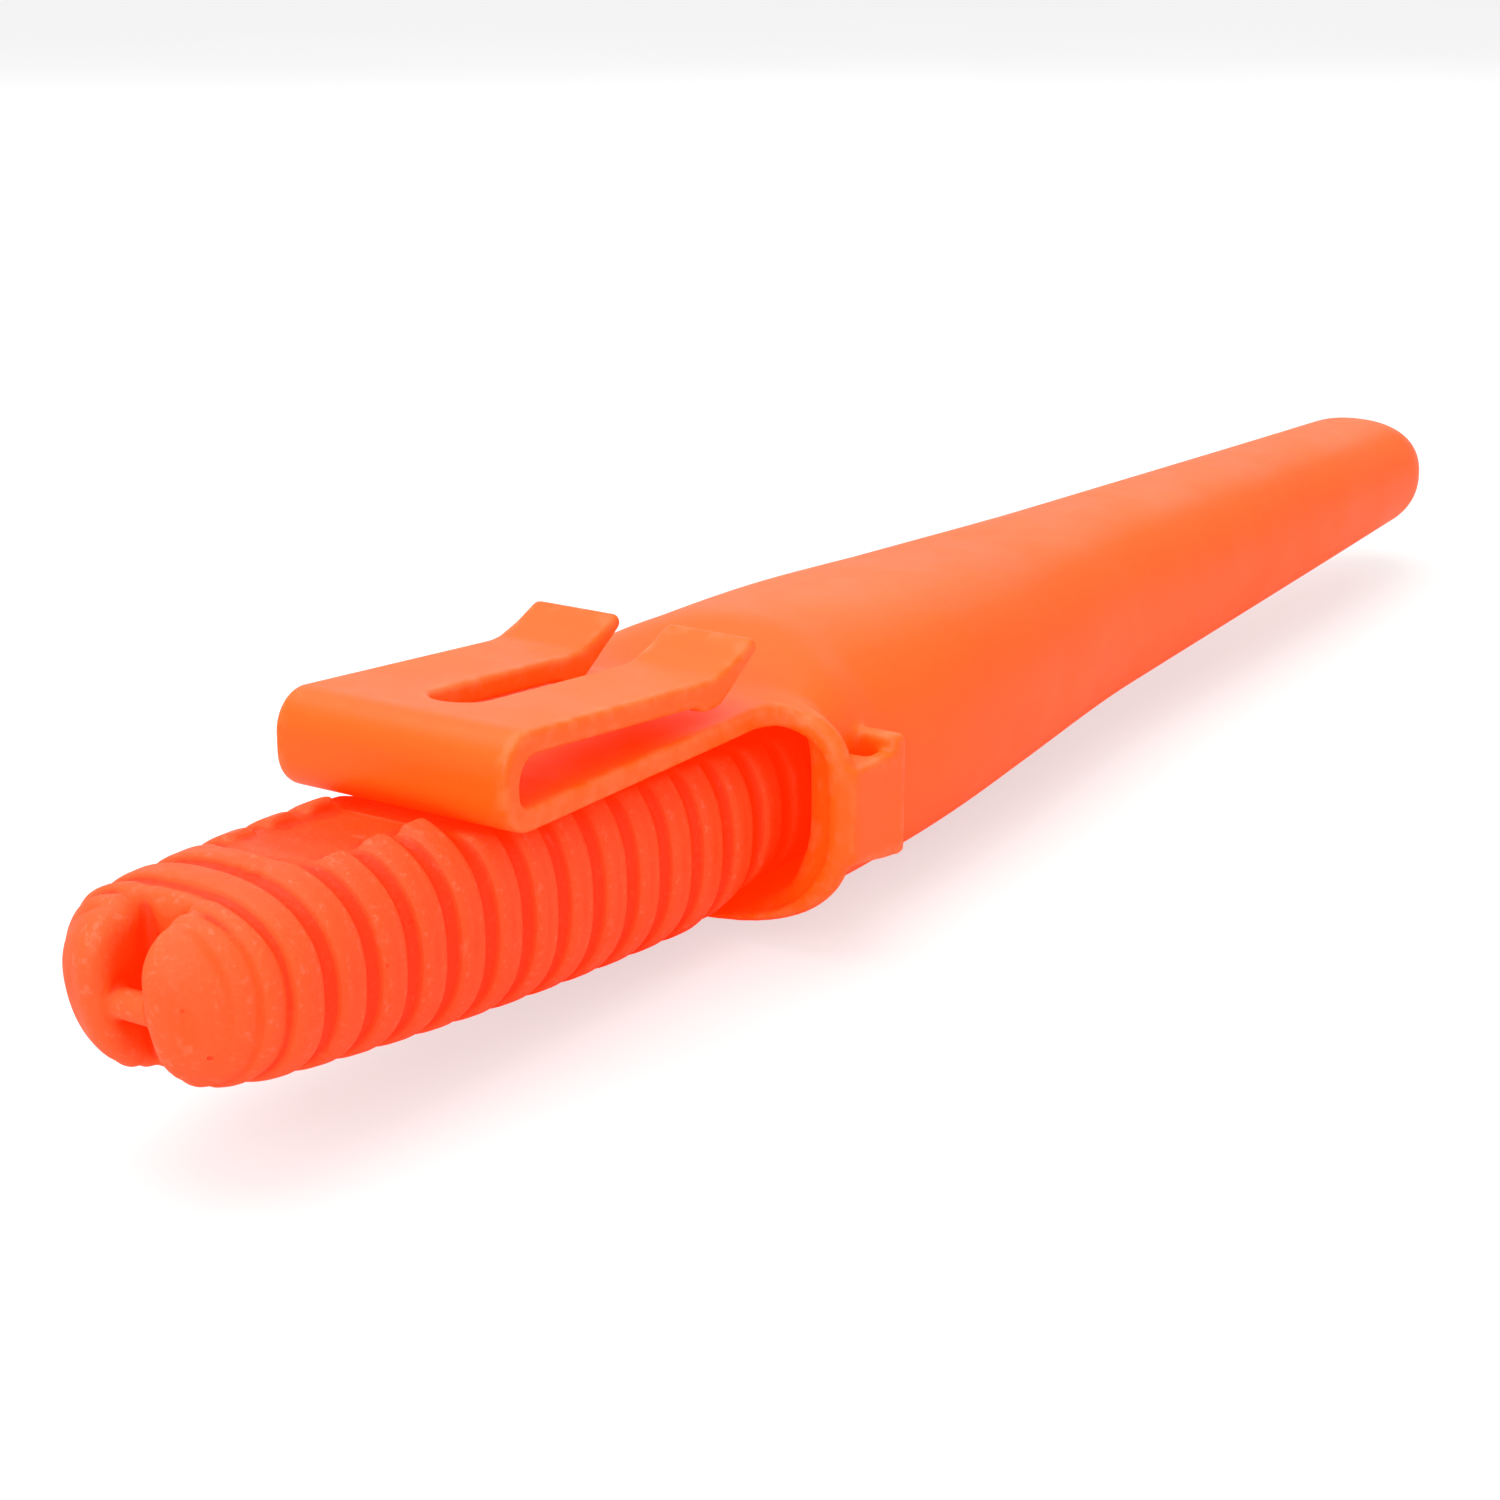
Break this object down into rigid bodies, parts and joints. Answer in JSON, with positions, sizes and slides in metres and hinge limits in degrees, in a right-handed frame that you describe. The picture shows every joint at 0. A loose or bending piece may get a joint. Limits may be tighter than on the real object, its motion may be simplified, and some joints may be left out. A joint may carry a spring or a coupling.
{
  "type": "sheathed rescue knife",
  "caption": "Buoyant ribbed-handle rescue knife that slides into a moulded sheath with a spring belt clip and a cord loop.",
  "frame": {"origin": "where a belt sits in the clip: on top of the tongue, in the middle plane, halfway between the bend and the barbs", "axes": "+X towards the tip of the sheath, +Z out of the clip side, -Y towards the cord loop"},
  "size_m": [0.271, 0.0454, 0.0342],
  "materials": {
    "sheath": "smooth waxy polyethylene, slightly translucent",
    "handle": "fine frosted grain of a moulded foam",
    "steel": "lengthwise brushed"
  },
  "bodies": {
    "sheath": {"sheath_body": "sheath", "clip_base": "sheath", "cord_loop": "sheath"},
    "prong_left": {"clip_prong_left": "sheath"},
    "prong_right": {"clip_prong_right": "sheath"},
    "knife": {"knife_handle": "handle", "lanyard_bar": "handle", "blade": "steel"}
  },
  "joints": [
    {"name": "draw", "type": "slide", "parent": "sheath", "child": "knife", "axis": [-1, 0, 0], "range_m": [0, 0.156]},
    {"name": "flex_left", "type": "hinge", "parent": "sheath", "child": "prong_left", "pos_m": [-0.0065, 0.0083, 0.0067], "axis": [0, -1, 0], "range_deg": [-3, 8], "stiffness_Nm_per_rad": 0.35},
    {"name": "flex_right", "type": "hinge", "parent": "sheath", "child": "prong_right", "pos_m": [-0.0065, -0.0083, 0.0067], "axis": [0, -1, 0], "range_deg": [-3, 8], "stiffness_Nm_per_rad": 0.35}
  ]
}
